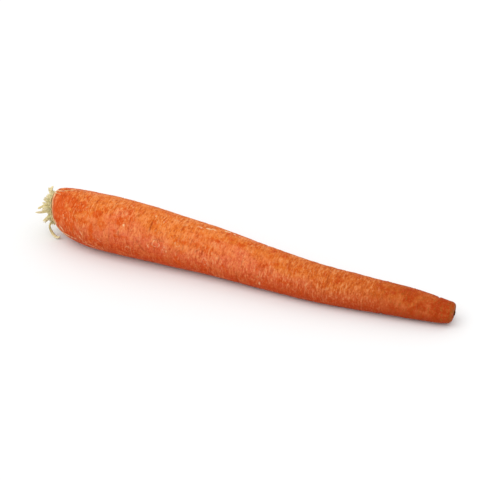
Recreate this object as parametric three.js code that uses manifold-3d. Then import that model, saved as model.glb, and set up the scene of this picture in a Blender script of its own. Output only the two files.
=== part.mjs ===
// A carrot lying on its side: the orange taproot with its crown at -X and its snapped tip at +X,
// the ring of dried leaf bases in the crown, and the rosette of torn leaf stalks that grows out of it.
// Millimetres, +Z up, resting on z = 0, with the origin under the middle of the carrot.
import * as THREE from 'three';
import { mergeVertices } from 'three/addons/utils/BufferGeometryUtils.js';
import Module from 'manifold-3d';

const wasm = await Module();
wasm.setup();

// Taproot: [distance from the crown's rim, radius]
const ROOT_LENGTH = 242;
const ROOT_RADIUS = [
  [0, 10.5], [0.7, 11.4], [2.5, 12.4], [6, 13.6], [12, 14.9], [19, 15.8], [27, 16.35], [39, 16.6],
  [54, 16.25], [94, 14.3], [144, 11.75], [194, 9.55], [225, 7.85], [238.5, 6.35], [241.2, 5.8], [242, 5.2],
];
// Sideways bow of its axis, and the height of its axis over a straight rest: [distance, offset]
const ROOT_BOW = [
  [0, 1.6], [23, -1.4], [63, -2.9], [98, -3.4], [133, -5.5], [165, -7.1], [193, -6.0], [218, -4.3],
  [242, -2.9],
];
const ROOT_RISE = [[0, 0.7], [14, 0], [68, 0.1], [113, 0.3], [148, 0], [193, 0.2], [218, 0.6], [242, 0.9]];
const SHOULDER_END = 27;
const BELLY_END = 236;
const REST_SINK = 0.6;
const STATION_STEP = 5;
const ROOT_SIDES = 40;
const LEAST_STEP = 0.45;

// Crown: a shallow round socket in a face that leans, its high side at CROWN_HIGH_SIDE round the axis
const RIM_RADIUS = 10.5;
const SOCKET_MOUTH = 10.1;
const SOCKET_FLOOR = 9.9;
const SOCKET_DEPTH = 2.6;
const LIP_ROUNDING = 0.3;
const CROWN_LEAN = Math.atan(2.6 / RIM_RADIUS);
const CROWN_HIGH_SIDE = THREE.MathUtils.degToRad(120);
const SHOULDER_BLEND = 16;

// Tip: the blunt end where the thin root snapped off, with the stub of its core
const TIP_LEAN = 0.3;
const TIP_HIGH_SIDE = THREE.MathUtils.degToRad(120);
const TIP_BLEND = 10;
const TIP_FACE = [[4.2, 0.35], [2.4, 0.6], [1.5, 0.7], [1.1, 1.1]];

// Creases across the skin
const CREASE_COUNT = 11;
const CREASES_FROM = 16;
const CREASES_TO = 220;
const CREASE_HALF_WIDTH = 1.0;
const CREASE_SEED = 421;
const NOTCH = { at: 233, around: THREE.MathUtils.degToRad(125), span: 0.75, depth: 0.55 };

// Ring of dried leaf bases, in the crown's own frame: [radius, height over the rim]
const RING_SECTION = [
  [8.75, -2.25], [9.5, -2.25], [9.65, -0.5], [9.95, 0.4], [10.5, 1.15], [10.0, 1.3], [9.2, 0.6], [8.8, -0.6],
  [8.75, -2.25],
];
const RING_SIDES = 56;
const RING_SCALES = 13;

// Disc that the stalks grow from, and the rules for the torn stalks
const DISC_SECTION = [[0, -2.25], [8.1, -2.25], [8.35, -0.8], [7.6, 0.7], [5, 1.9], [2.4, 2.4], [0, 2.5]];
const DISC_SIDES = 24;
const GOLDEN_ANGLE = THREE.MathUtils.degToRad(137.5);
const HEART_STALKS = 8;
// Outer stalks: [degrees round the crown from its near side, lean of the torn end in degrees, length, width]
const OUTER_STALKS = [
  [122, 80, 8.6, 4.6], [94, 40, 6.4, 3.2], [66, 56, 7.2, 3.2], [26, 46, 7.8, 4.4], [-15, 62, 8.0, 3.2],
  [-48, 78, 5.8, 3.6], [-84, 70, 6.0, 3.4], [-118, 84, 6.8, 4.4], [-150, 64, 8.4, 3.4], [178, 82, 7.2, 4.0],
  [150, 68, 8.6, 3.4],
];
const STALK_SEED = 77;
const STRAND_RADIUS = 0.5;
// Thin strands, in the crown's own frame: x to the near side, y up, z out of the crown
const STRANDS = [
  [[4.6, 5.4, 0.4], [5.2, 6.0, 3.9], [6.3, 5.0, 7.2], [7.2, 3.9, 10.2]],
  [[5.6, 1.2, 0.4], [6.8, 1.6, 3.6], [8.8, 2.3, 7.0], [12.3, 4.2, 9.5]],
  [[5.2, -4.2, 0.4], [6.2, -4.6, 3.0], [8.6, -6.6, 4.9], [7.4, -10.6, 6.0], [7.6, -13.8, 4.9],
    [8.6, -15.4, 2.2], [8.3, -14.7, 0.4]],
  [[-3.2, 6.0, 0.4], [-3.8, 6.8, 3.6], [-5.2, 9.8, 4.8], [-6.2, 11.8, 3.6]],
  [[-2.6, -6.4, 0.4], [-3.6, -7.0, 3.6], [-7.0, -9.6, 5.0], [-10.0, -10.6, 3.0]],
];

const COLOURS = { root: 0xe06a26, dried: 0xc9a76b, stalks: 0xc9c98c };

// Smooth curve through a list of [distance, value], read at one distance
function through(points, at) {
  const last = points.length - 2;
  let i = 0;
  while (i < last && at > points[i + 1][0]) i += 1;
  const slope = (k) => (points[k + 1][1] - points[k][1]) / (points[k + 1][0] - points[k][0]);
  const tangent = (k) => {
    if (k === 0) return slope(0);
    if (k === points.length - 1) return slope(k - 1);
    const before = points[k][0] - points[k - 1][0];
    const after = points[k + 1][0] - points[k][0];
    return (slope(k - 1) * after + slope(k) * before) / (before + after);
  };
  const span = points[i + 1][0] - points[i][0];
  const t = (at - points[i][0]) / span;
  return (2 * t ** 3 - 3 * t ** 2 + 1) * points[i][1] + (t ** 3 - 2 * t ** 2 + t) * span * tangent(i)
    + (3 * t ** 2 - 2 * t ** 3) * points[i + 1][1] + (t ** 3 - t ** 2) * span * tangent(i + 1);
}

// Repeatable random numbers from 0 to 1
function draws(seed) {
  let state = seed;
  return () => {
    state = (state * 16807) % 2147483647;
    return state / 2147483647;
  };
}

// Smallest turn from one angle to another, without its sign
function apart(a, b) {
  return Math.abs(Math.atan2(Math.sin(a - b), Math.cos(a - b)));
}

// A geometry with shared vertices and no empty triangles, ready to bend or to join
function welded(geometry) {
  geometry.deleteAttribute('normal');
  geometry.deleteAttribute('uv');
  const merged = mergeVertices(geometry, 1e-4);
  const index = merged.getIndex().array;
  const kept = [];
  for (let i = 0; i < index.length; i += 3) {
    const [a, b, c] = [index[i], index[i + 1], index[i + 2]];
    if (a !== b && b !== c && c !== a) kept.push(a, b, c);
  }
  merged.setIndex(kept);
  return merged;
}

// Moves every vertex of a geometry by a function of its place
function bent(geometry, move) {
  const position = geometry.getAttribute('position');
  const point = new THREE.Vector3();
  for (let i = 0; i < position.count; i += 1) {
    point.fromBufferAttribute(position, i);
    move(point);
    position.setXYZ(i, point.x, point.y, point.z);
  }
  return geometry;
}

function lathe(section, sides) {
  return welded(new THREE.LatheGeometry(section.map(([r, h]) => new THREE.Vector2(r, h)), sides));
}

function toSolid(geometry) {
  const merged = welded(geometry);
  return new wasm.Manifold(new wasm.Mesh({
    numProp: 3,
    vertProperties: new Float32Array(merged.getAttribute('position').array),
    triVerts: new Uint32Array(merged.getIndex().array),
  }));
}

function toGeometry(solid) {
  const mesh = solid.getMesh();
  const geometry = new THREE.BufferGeometry();
  geometry.setAttribute('position', new THREE.BufferAttribute(mesh.vertProperties, 3));
  geometry.setIndex(new THREE.BufferAttribute(mesh.triVerts, 1));
  return geometry;
}

// Axis of the root at a distance from the crown's rim
function rootAxis(at) {
  const belly = through(ROOT_RADIUS, THREE.MathUtils.clamp(at, SHOULDER_END, BELLY_END));
  return new THREE.Vector3(at, through(ROOT_BOW, at), belly + through(ROOT_RISE, at) - REST_SINK);
}

// Directions of the crown: x to the near side, y up, z out of the crown's leaning face
function crownFrame() {
  const out = new THREE.Vector3(-1, Math.cos(CROWN_HIGH_SIDE) * Math.tan(CROWN_LEAN),
    -Math.sin(CROWN_HIGH_SIDE) * Math.tan(CROWN_LEAN)).normalize();
  const near = new THREE.Vector3(0, -1, 0).projectOnPlane(out).normalize();
  const up = new THREE.Vector3().crossVectors(out, near);
  return new THREE.Matrix4().makeBasis(near, up, out).setPosition(rootAxis(0));
}

function makeCreases() {
  const random = draws(CREASE_SEED);
  const spacing = (CREASES_TO - CREASES_FROM) / CREASE_COUNT;
  const creases = [];
  for (let i = 0; i < CREASE_COUNT; i += 1) {
    creases.push({
      at: CREASES_FROM + (i + 0.15 + 0.7 * random()) * spacing,
      around: i * GOLDEN_ANGLE + 0.6 * random(),
      span: 0.55 + 0.75 * random(),
      depth: 0.3 + 0.25 * random(),
    });
  }
  creases.push(NOTCH);
  return creases;
}

function creaseDepth(creases, at, around) {
  let depth = 0;
  for (const crease of creases) {
    const along = Math.max(0, 1 - Math.abs(at - crease.at) / CREASE_HALF_WIDTH);
    const across = Math.max(0, 1 - (apart(around, crease.around) / crease.span) ** 2);
    depth = Math.max(depth, crease.depth * along * across);
  }
  return depth;
}

// Slow swellings of the skin, as a share of the radius
function swelling(at, around) {
  return 0.010 * Math.sin(at / 17 + 1.3) * Math.cos(2 * around + 0.6)
    + 0.007 * Math.cos(3 * around + at / 38) + 0.004 * Math.sin(at / 7.3) * Math.cos(around - at / 60);
}

// Distances along the root where the skin has a ring of vertices
function rootStations(creases) {
  const wanted = ROOT_RADIUS.map(([at]) => at);
  for (const crease of creases) {
    wanted.push(crease.at, crease.at - CREASE_HALF_WIDTH, crease.at + CREASE_HALF_WIDTH);
  }
  for (let at = SHOULDER_END; at < ROOT_LENGTH - STATION_STEP; at += STATION_STEP) {
    if (wanted.every((other) => Math.abs(other - at) > STATION_STEP / 2)) wanted.push(at);
  }
  wanted.sort((a, b) => a - b);
  return wanted.filter((at, i) => i === 0 || at - wanted[i - 1] > LEAST_STEP);
}

function rootGeometry() {
  const creases = makeCreases();
  const crown = crownFrame();
  const section = [[0, SOCKET_DEPTH], [SOCKET_FLOOR / 2, SOCKET_DEPTH], [SOCKET_FLOOR, SOCKET_DEPTH]];
  section.push([SOCKET_MOUTH, LIP_ROUNDING]);
  for (const at of rootStations(creases)) section.push([through(ROOT_RADIUS, at), at]);
  for (const [radius, proud] of TIP_FACE) section.push([radius, ROOT_LENGTH + proud]);
  section.push([0, ROOT_LENGTH + TIP_FACE.at(-1)[1]]);

  return bent(lathe(section, ROOT_SIDES), (point) => {
    const at = point.y;
    const radius = Math.hypot(point.x, point.z);
    const around = Math.atan2(point.x, -point.z);
    if (at < SHOULDER_END && radius < (SOCKET_MOUTH + RIM_RADIUS) / 2) {
      point.set(radius * Math.cos(around), radius * Math.sin(around), -at).applyMatrix4(crown);
      return;
    }
    const skin = radius * (1 + swelling(at, around)) - creaseDepth(creases, at, around);
    const axis = rootAxis(Math.min(at, ROOT_LENGTH));
    const crownBlend = Math.max(0, 1 - at / SHOULDER_BLEND) ** 1.5;
    const tipBlend = Math.max(0, 1 - (ROOT_LENGTH - at) / TIP_BLEND) ** 1.5 * Math.min(1, radius / 6);
    const leanOut = Math.tan(CROWN_LEAN) * RIM_RADIUS * crownBlend * Math.cos(around - CROWN_HIGH_SIDE);
    const leanTip = TIP_LEAN * tipBlend * Math.cos(around - TIP_HIGH_SIDE);
    point.set(at - leanOut + leanTip, axis.y - skin * Math.cos(around), axis.z + skin * Math.sin(around));
    point.z = Math.max(0, point.z);
  });
}

// The ring's top edge is torn into pointed scales of uneven height, some flared out more than others
function ringGeometry() {
  return bent(lathe(RING_SECTION, RING_SIDES), (point) => {
    const around = Math.atan2(point.x, point.z);
    const height = point.y;
    const radius = Math.hypot(point.x, point.z);
    const scale = Math.abs(Math.sin(around * RING_SCALES / 2 + 0.7 * Math.sin(3 * around)));
    const tall = 0.7 + 0.5 * scale + 0.2 * Math.sin(5 * around + 1);
    const z = height > 0 ? height * tall : height;
    const r = height > 0 ? radius + 0.25 * (tall - 1) * height : radius;
    point.set(r * Math.sin(around), -r * Math.cos(around), z);
  });
}

// One torn stalk: a strip of crescent section that starts in the disc, climbs and leans outward on an arc
function stalkGeometry({ around, from, lean, droop, length, width, thick, tear }) {
  const strip = welded(new THREE.BoxGeometry(2, 1, 2, 5, 4, 1));
  const [a, b] = [lean, droop - lean];
  return bent(strip, (point) => {
    const u = point.x;
    const t = point.y + 0.5;
    const ragged = tear * Math.sin(7.3 * u + 9 * around) * Math.max(0, t - 0.5) * 2;
    const s = t * length * (1 + ragged);
    const angle = a + b * (s / length);
    const half = width / 2 * (1 - 0.3 * t) * (1 - 0.25 * t * t);
    const cup = 0.42 * half * u * u;
    const rim = thick / 2 * (1 - 0.35 * t) * (1 - 0.3 * u * u) * point.z;
    const reach = from + (length / b) * (Math.cos(a) - Math.cos(angle)) + (rim - cup) * Math.cos(angle);
    const height = (length / b) * (Math.sin(angle) - Math.sin(a)) - (rim - cup) * Math.sin(angle) - 0.3;
    const side = half * u;
    const [c, d] = [Math.cos(around), Math.sin(around)];
    point.set(reach * c - side * d, reach * d + side * c, height);
  });
}

// The stalks of the heart stand in a spiral, and the outer ones lean over the ring
function makeStalks() {
  const random = draws(STALK_SEED);
  const degrees = THREE.MathUtils.degToRad;
  const stalks = [];
  for (let i = 0; i < HEART_STALKS; i += 1) {
    stalks.push({
      around: i * GOLDEN_ANGLE, from: 0.6 + 1.6 * Math.sqrt(i), lean: degrees(4 + 2 * i),
      droop: degrees(14 + 5 * i), length: 5.4 + 2.4 * random(), width: 3.0 + 0.9 * random(),
      thick: 1.3 + 0.2 * random(), tear: 0.10 + 0.12 * random(),
    });
  }
  for (const [side, droop, length, width] of OUTER_STALKS) {
    stalks.push({
      around: degrees(side), from: 5.7 + 0.4 * random(), lean: degrees(6 + 5 * random()),
      droop: degrees(droop), length, width, thick: 1.25 + 0.25 * random(), tear: 0.10 + 0.12 * random(),
    });
  }
  return stalks;
}

function strandGeometry(points) {
  const circle = new THREE.Shape().absarc(0, 0, STRAND_RADIUS, 0, 2 * Math.PI);
  return new THREE.ExtrudeGeometry(circle, {
    steps: 10, curveSegments: 6, bevelEnabled: false,
    extrudePath: new THREE.CatmullRomCurve3(points.map((point) => new THREE.Vector3(...point))),
  });
}

function stalksGeometry() {
  const disc = bent(lathe(DISC_SECTION, DISC_SIDES), (point) => point.set(point.x, -point.z, point.y));
  let rosette = toSolid(disc);
  for (const stalk of makeStalks()) rosette = rosette.add(toSolid(stalkGeometry(stalk)));
  for (const strand of STRANDS) rosette = rosette.add(toSolid(strandGeometry(strand)));
  return toGeometry(rosette);
}

function makeMesh(name, geometry, color, roughness) {
  const mesh = new THREE.Mesh(geometry, new THREE.MeshStandardMaterial({ color, roughness, metalness: 0 }));
  mesh.name = name;
  return mesh;
}

const crown = new THREE.Group();
crown.applyMatrix4(crownFrame());
crown.add(makeMesh('dried_leaf_bases', ringGeometry(), COLOURS.dried, 0.85));
crown.add(makeMesh('leaf_stalks', stalksGeometry(), COLOURS.stalks, 0.6));

const carrot = new THREE.Group();
carrot.add(makeMesh('root', rootGeometry(), COLOURS.root, 0.5));
carrot.add(crown);

// The origin is the middle of the carrot's box, on the surface it rests on
const box = new THREE.Box3().setFromObject(carrot, true);
carrot.position.set(-(box.min.x + box.max.x) / 2, -(box.min.y + box.max.y) / 2, -box.min.z);

export default carrot;
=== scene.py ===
"""A carrot lying on its side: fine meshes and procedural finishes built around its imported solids.

The meshes repeat the form of the solids and add what is too fine for them: creases, scars and pits in the
skin, ribs and torn fibres on the leaf stalks, and the ragged edge of the dried leaf bases. Lengths are in
millimetres until a mesh is made. The carrot's own coordinates are the distance along the root from the
crown's rim and the angle round it, which is 0 on the side of negative y and 90 degrees on top.
"""

import logging
import math
from collections.abc import Callable, Sequence
from dataclasses import dataclass, field
from enum import Enum
from typing import ClassVar, TypeAlias

import bpy
import numpy as np
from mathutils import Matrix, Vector


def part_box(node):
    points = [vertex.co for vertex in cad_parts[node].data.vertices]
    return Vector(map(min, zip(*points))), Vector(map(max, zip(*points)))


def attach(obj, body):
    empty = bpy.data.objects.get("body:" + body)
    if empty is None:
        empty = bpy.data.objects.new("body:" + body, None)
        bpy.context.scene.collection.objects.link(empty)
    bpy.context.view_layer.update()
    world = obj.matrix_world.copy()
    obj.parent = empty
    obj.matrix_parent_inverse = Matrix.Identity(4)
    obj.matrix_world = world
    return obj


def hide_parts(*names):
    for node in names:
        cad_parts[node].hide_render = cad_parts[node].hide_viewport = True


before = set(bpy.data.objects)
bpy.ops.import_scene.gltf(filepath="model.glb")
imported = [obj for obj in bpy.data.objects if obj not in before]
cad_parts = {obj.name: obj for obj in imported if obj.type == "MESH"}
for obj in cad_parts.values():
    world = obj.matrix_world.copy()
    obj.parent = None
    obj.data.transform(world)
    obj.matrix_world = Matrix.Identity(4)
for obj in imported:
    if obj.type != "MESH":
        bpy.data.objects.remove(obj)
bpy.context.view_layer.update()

log = logging.getLogger("carrot")

Array = np.ndarray
Reading = Array | float
Curve = Sequence[tuple[float, float]]
Point = tuple[float, float, float]
Colour = tuple[float, float, float, float]
Draw = Callable[[], float]

MM = 0.001
TURN = 2 * math.pi
GOLDEN_ANGLE = math.radians(137.5)
BODY = "root"


def draws(seed: int, factor: int = 16807, limit: int = 2147483647) -> Draw:
    """Makes a source of repeatable random numbers.

    Args:
        seed: The number that the series starts from.
        factor: What each number is multiplied by to give the next.
        limit: The prime that they stay under.

    Returns:
        A function that gives the next number, from 0 to 1.
    """
    state = seed

    def draw() -> float:
        """Gives the next number of the series.

        Returns:
            The number, from 0 to 1.
        """
        nonlocal state
        state = state * factor % limit
        return state / limit

    return draw


def rise(low: float, high: float, x: Reading) -> Array:
    """Gives a smooth step from 0 at low to 1 at high; low may be the larger."""
    t = np.clip((np.asarray(x, float) - low) / (high - low), 0, 1)
    return t * t * (3 - 2 * t)


def cubic(t: Reading, a: Reading, b: Reading, leave: Reading, arrive: Reading) -> Array:
    """Reads the curve from a to b at t, from 0 to 1, by its slopes where it leaves a and arrives at b."""
    return ((2 * t**3 - 3 * t**2 + 1) * a + (t**3 - 2 * t**2 + t) * leave
            + (3 * t**2 - 2 * t**3) * b + (t**3 - t**2) * arrive)


def through(points: Curve, at: Reading) -> Array:
    """Reads the smooth curve through a list of points.

    Args:
        points: Distances, in rising order, each with its value.
        at: The distances to read.

    Returns:
        The curve's value at each distance.
    """
    where, value = np.array(points, float).T
    step = np.diff(where)
    slope = np.diff(value) / step
    inner = (slope[:-1] * step[1:] + slope[1:] * step[:-1]) / (step[:-1] + step[1:])
    tangent = np.concatenate([slope[:1], inner, slope[-1:]])
    at = np.asarray(at, float)
    i = np.clip(np.searchsorted(where, at) - 1, 0, len(step) - 1)
    t = (at - where[i]) / step[i]
    return cubic(t, value[i], value[i + 1], step[i] * tangent[i], step[i] * tangent[i + 1])


def spline(points: Sequence[Sequence[float]], count: int) -> Array:
    """Makes a centripetal Catmull-Rom curve through points.

    Args:
        points: The points that the curve passes.
        count: How many places to read along it.

    Returns:
        The places, one in each row.
    """
    p = np.array(points, float)
    p = np.vstack([2 * p[0] - p[1], p, 2 * p[-1] - p[-2]])
    gap = np.sqrt(np.linalg.norm(np.diff(p, axis=0), axis=1))
    places = []
    for s in np.linspace(0, len(points) - 1, count):
        i = min(int(s), len(points) - 2)
        before, here, after = gap[i:i + 3]
        a, b, c, d = p[i:i + 4]
        leave = ((b - a) / before - (c - a) / (before + here) + (c - b) / here) * here
        arrive = ((c - b) / here - (d - b) / (here + after) + (d - c) / after) * here
        places.append(cubic(s - i, b, c, leave, arrive))
    return np.array(places)


def refined(corners: Sequence[Sequence[float]], cuts: int) -> Array:
    """Cuts each stretch of an outline into equal parts.

    Args:
        corners: The outline's corners.
        cuts: How many parts each stretch gets.

    Returns:
        The start of every part, one in each row.
    """
    rows = np.array(corners)
    parts = np.linspace(0, 1, cuts, endpoint=False)[:, None]
    return np.concatenate([a + (b - a) * parts for a, b in zip(rows[:-1], rows[1:])])


def unit(vector: Array) -> Array:
    """Scales vectors to length 1."""
    return vector / np.linalg.norm(vector, axis=-1, keepdims=True)


def vectors(*parts: Reading) -> Array:
    """Joins x, y and z, spread to one shape, into vectors."""
    return np.stack(np.broadcast_arrays(*parts), -1)


def turned(reach: Reading, side: Reading, height: Reading, around: Reading) -> Array:
    """Gives the places at a reach from the crown's middle towards an angle, a side step and a height."""
    c, s = np.cos(around), np.sin(around)
    return vectors(reach * c - side * s, reach * s + side * c, height)


def turn_from(middle: float, around: Reading) -> Array:
    """Gives the turn from one angle to others, from minus half a turn to half a turn."""
    return np.arctan2(np.sin(around - middle), np.cos(around - middle))


def circle(sides: int) -> Array:
    """Gives the angles of the sides of a tube."""
    return np.linspace(0, TURN, sides, endpoint=False)


def pipe(path: Array, radius: Array, sides: int, flat: float = 1.0, ribs: float = 0.0) -> Array:
    """Makes the rings of a tube along a path.

    Args:
        path: Places along the middle.
        radius: Radius at each place.
        sides: Number of sides.
        flat: Share of the radius that stays in one direction.
        ribs: Height of the four ribs along the tube, as a share of the radius.

    Returns:
        Places by ring, by side and by x, y, z.
    """
    ahead = unit(np.gradient(path, axis=0))
    side = np.array([0.31, 0.52, -0.79])
    angle = circle(sides)
    ribbed = 1 + ribs * np.cos(4 * angle)
    rings = []
    for place, direction, r in zip(path, ahead, radius):
        side = unit(side - direction * (side @ direction))
        across = flat * np.cross(side, direction)
        rings.append(place + r * (np.outer(ribbed * np.cos(angle), side)
                                  + np.outer(ribbed * np.sin(angle), across)))
    return np.array(rings)


@dataclass(frozen=True)
class Grain:
    """Smooth random relief over the skin, which joins up round the root.

    Args:
        seed: Picks one relief.
        along: Spacing of its humps along the root.
        count: Number of its humps round the root.
        reach: Length of root that it covers.
        margin: How far before the crown's rim it starts.
    """

    seed: int
    along: float
    count: int
    reach: float = 260.0
    margin: float = 12.0

    def read(self, at: Array, around: Array) -> Array:
        """Reads the relief.

        Args:
            at: Distances along the root.
            around: Angles round it.

        Returns:
            Heights from -1 to 1.
        """
        rows = int(self.reach / self.along) + 4
        lattice = np.random.default_rng(self.seed).uniform(-1, 1, (rows, self.count))
        x = (at + self.margin) / self.along
        y = (around / TURN % 1) * self.count
        i, j = np.clip(x.astype(int), 0, rows - 2), y.astype(int) % self.count
        u, v = rise(0, 1, x - i), rise(0, 1, y - np.floor(y))
        k = (j + 1) % self.count
        return ((lattice[i, j] * (1 - v) + lattice[i, k] * v) * (1 - u)
                + (lattice[i + 1, j] * (1 - v) + lattice[i + 1, k] * v) * u)


@dataclass(frozen=True)
class Crease:
    """A groove across the skin.

    Args:
        at: Distance from the crown's rim.
        around: Angle of its middle.
        span: Half its length, as an angle.
        depth: Depth at its middle.
        half: Half its width.
        wave: How far it strays along the root.
    """

    at: float
    around: float
    span: float
    depth: float
    half: float = 1.0
    wave: float = 0.0

    def weight(self, at: Array, around: Array) -> Array:
        """Gives how much of the groove there is at each place of the skin.

        Args:
            at: Distances along the root.
            around: Angles round it.

        Returns:
            Shares of its depth, from 0 to 1.
        """
        turn = turn_from(self.around, around)
        middle = self.at + self.wave * np.sin(2.6 * turn / self.span + 9 * self.around)
        along = np.clip(1 - np.abs(at - middle) / self.half, 0, 1)
        return along ** 1.2 * np.clip(1 - (turn / self.span) ** 2, 0, 1)


class MarkKind(Enum):
    """What a mark on the skin is."""

    DEEP = "moist patch of a deeper orange"
    SCALY = "dry, finely flaked patch"
    PALE = "dry cream scuff"
    RING = "round scar with a pale edge"
    CRACK = "thin open crack"


@dataclass(frozen=True)
class Mark:
    """One mark on the skin.

    Args:
        kind: What it is.
        at: Distance from the crown's rim.
        around: Angle of its middle, in degrees.
        long: Half its size along the root.
        wide: Half its size across the root.
        strength: From 0 to 1.
        turn: How far its along direction turns towards the across direction, in degrees.
    """

    kind: MarkKind
    at: float
    around: float
    long: float
    wide: float
    strength: float = 1.0
    turn: float = 0.0
    edge: ClassVar[float] = 1.15
    ring_half: ClassVar[float] = 0.32
    ring_ragged: ClassVar[float] = 0.3

    def weight(self, at: Array, around: Array, radius: Array, ragged: Reading = 0.0) -> Array:
        """Gives how much of the mark shows at each place of the skin.

        Args:
            at: Distances along the root.
            around: Angles round it.
            radius: Radius of the root there.
            ragged: What its edge is moved out by, as a share of its size.

        Returns:
            Weights from 0 to the mark's strength.
        """
        x, y = at - self.at, radius * turn_from(math.radians(self.around), around)
        c, s = math.cos(math.radians(self.turn)), math.sin(math.radians(self.turn))
        spread = ((x * c + y * s) / self.long) ** 2 + ((y * c - x * s) / self.wide) ** 2
        if self.kind is MarkKind.RING:
            off = np.abs(np.sqrt(spread) - 1 - self.ring_ragged * ragged)
            return self.strength * np.clip(1 - off / self.ring_half, 0, 1)
        return self.strength * np.clip(self.edge + ragged - spread, 0, 1)


@dataclass(frozen=True)
class RootForm:
    """The form that the root's solid and its fine skin share.

    Args:
        length: From the crown's rim to the edge of the snapped tip.
        radius: Radius along the root.
        bow: Sideways offset of the axis along the root.
        lift: Height of the axis over a straight rest.
        shoulder_end: Where the shoulder ends and the belly that it rests on starts.
        belly_end: Where that belly ends.
        rest_sink: How far the flat spot takes the belly down.
        rim_radius: Radius of the crown's rim.
        crown_rise: How far the rim leans out on its high side.
        high_side: Angle of that side.
        shoulder_blend: Length over which the lean dies out.
        tip_lean: How far the snapped tip leans.
        tip_blend: Length over which that lean starts.
    """

    length: float = 242.0
    radius: Curve = (
        (0, 10.5), (0.7, 11.4), (2.5, 12.4), (6, 13.6), (12, 14.9), (19, 15.8), (27, 16.35), (39, 16.6),
        (54, 16.25), (94, 14.3), (144, 11.75), (194, 9.55), (225, 7.85), (238.5, 6.35), (241.2, 5.8),
        (242, 5.2))
    bow: Curve = (
        (0, 1.6), (23, -1.4), (63, -2.9), (98, -3.4), (133, -5.5), (165, -7.1), (193, -6.0), (218, -4.3),
        (242, -2.9))
    lift: Curve = (
        (0, 0.7), (14, 0), (68, 0.1), (113, 0.3), (148, 0), (193, 0.2), (218, 0.6), (242, 0.9))
    shoulder_end: float = 27.0
    belly_end: float = 236.0
    rest_sink: float = 0.6
    rim_radius: float = 10.5
    crown_rise: float = 2.6
    high_side: float = math.radians(120)
    shoulder_blend: float = 16.0
    tip_lean: float = 0.3
    tip_blend: float = 10.0

    def axis(self, at: Reading) -> Array:
        """Gives the places of the root's axis.

        Args:
            at: Distances along the root.

        Returns:
            The places, as x, y and z in the last dimension.
        """
        belly = through(self.radius, np.clip(at, self.shoulder_end, self.belly_end))
        return vectors(at, through(self.bow, at), belly + through(self.lift, at) - self.rest_sink)

    def from_crown(self, points: Array) -> Array:
        """Moves points from the crown's own frame to the carrot's.

        Args:
            points: Places towards the near side, up, and out of the crown, from its middle.

        Returns:
            The same places in the carrot's own coordinates.
        """
        slant = self.crown_rise / self.rim_radius
        out = unit(np.array([-1, math.cos(self.high_side) * slant, -math.sin(self.high_side) * slant]))
        near = np.array([0.0, -1.0, 0.0])
        near = unit(near - out * (near @ out))
        return points @ np.array([near, np.cross(out, near), out]) + self.axis(0.0)

    def swelling(self, at: Array, around: Array) -> Array:
        """Gives the slow swellings of the skin.

        Args:
            at: Distances along the root.
            around: Angles round it.

        Returns:
            Shares of the radius, each added to it.
        """
        return (0.010 * np.sin(at / 17 + 1.3) * np.cos(2 * around + 0.6)
                + 0.007 * np.cos(3 * around + at / 38)
                + 0.004 * np.sin(at / 7.3) * np.cos(around - at / 60))

    def skin(self, at: Array, around: Array, radius: Array, proud: Reading = 0.0) -> Array:
        """Gives places on the skin.

        Args:
            at: Distances along the root.
            around: Angles round it.
            radius: Plain radius at each place.
            proud: Height of each place over the smooth skin.

        Returns:
            The places, as x, y and z in the last dimension.
        """
        out = radius * (1 + self.swelling(at, around)) + proud
        axis = self.axis(np.minimum(at, self.length))
        crown = np.clip(1 - at / self.shoulder_blend, 0, None) ** 1.5
        tip = np.clip(1 - (self.length - at) / self.tip_blend, 0, None) ** 1.5 * np.minimum(1, radius / 6)
        slant = np.cos(around - self.high_side)
        return vectors(at - self.crown_rise * crown * slant + self.tip_lean * tip * slant,
                       axis[..., 1] - out * np.cos(around),
                       np.maximum(0, axis[..., 2] + out * np.sin(around)))


def into_scene(name: str, data: bpy.types.ID) -> bpy.types.Object:
    """Puts a new object into the scene.

    Args:
        name: Its name.
        data: Its mesh, light or camera.

    Returns:
        The object.
    """
    thing = bpy.data.objects.new(name, data)
    bpy.context.scene.collection.objects.link(thing)
    return thing


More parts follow.
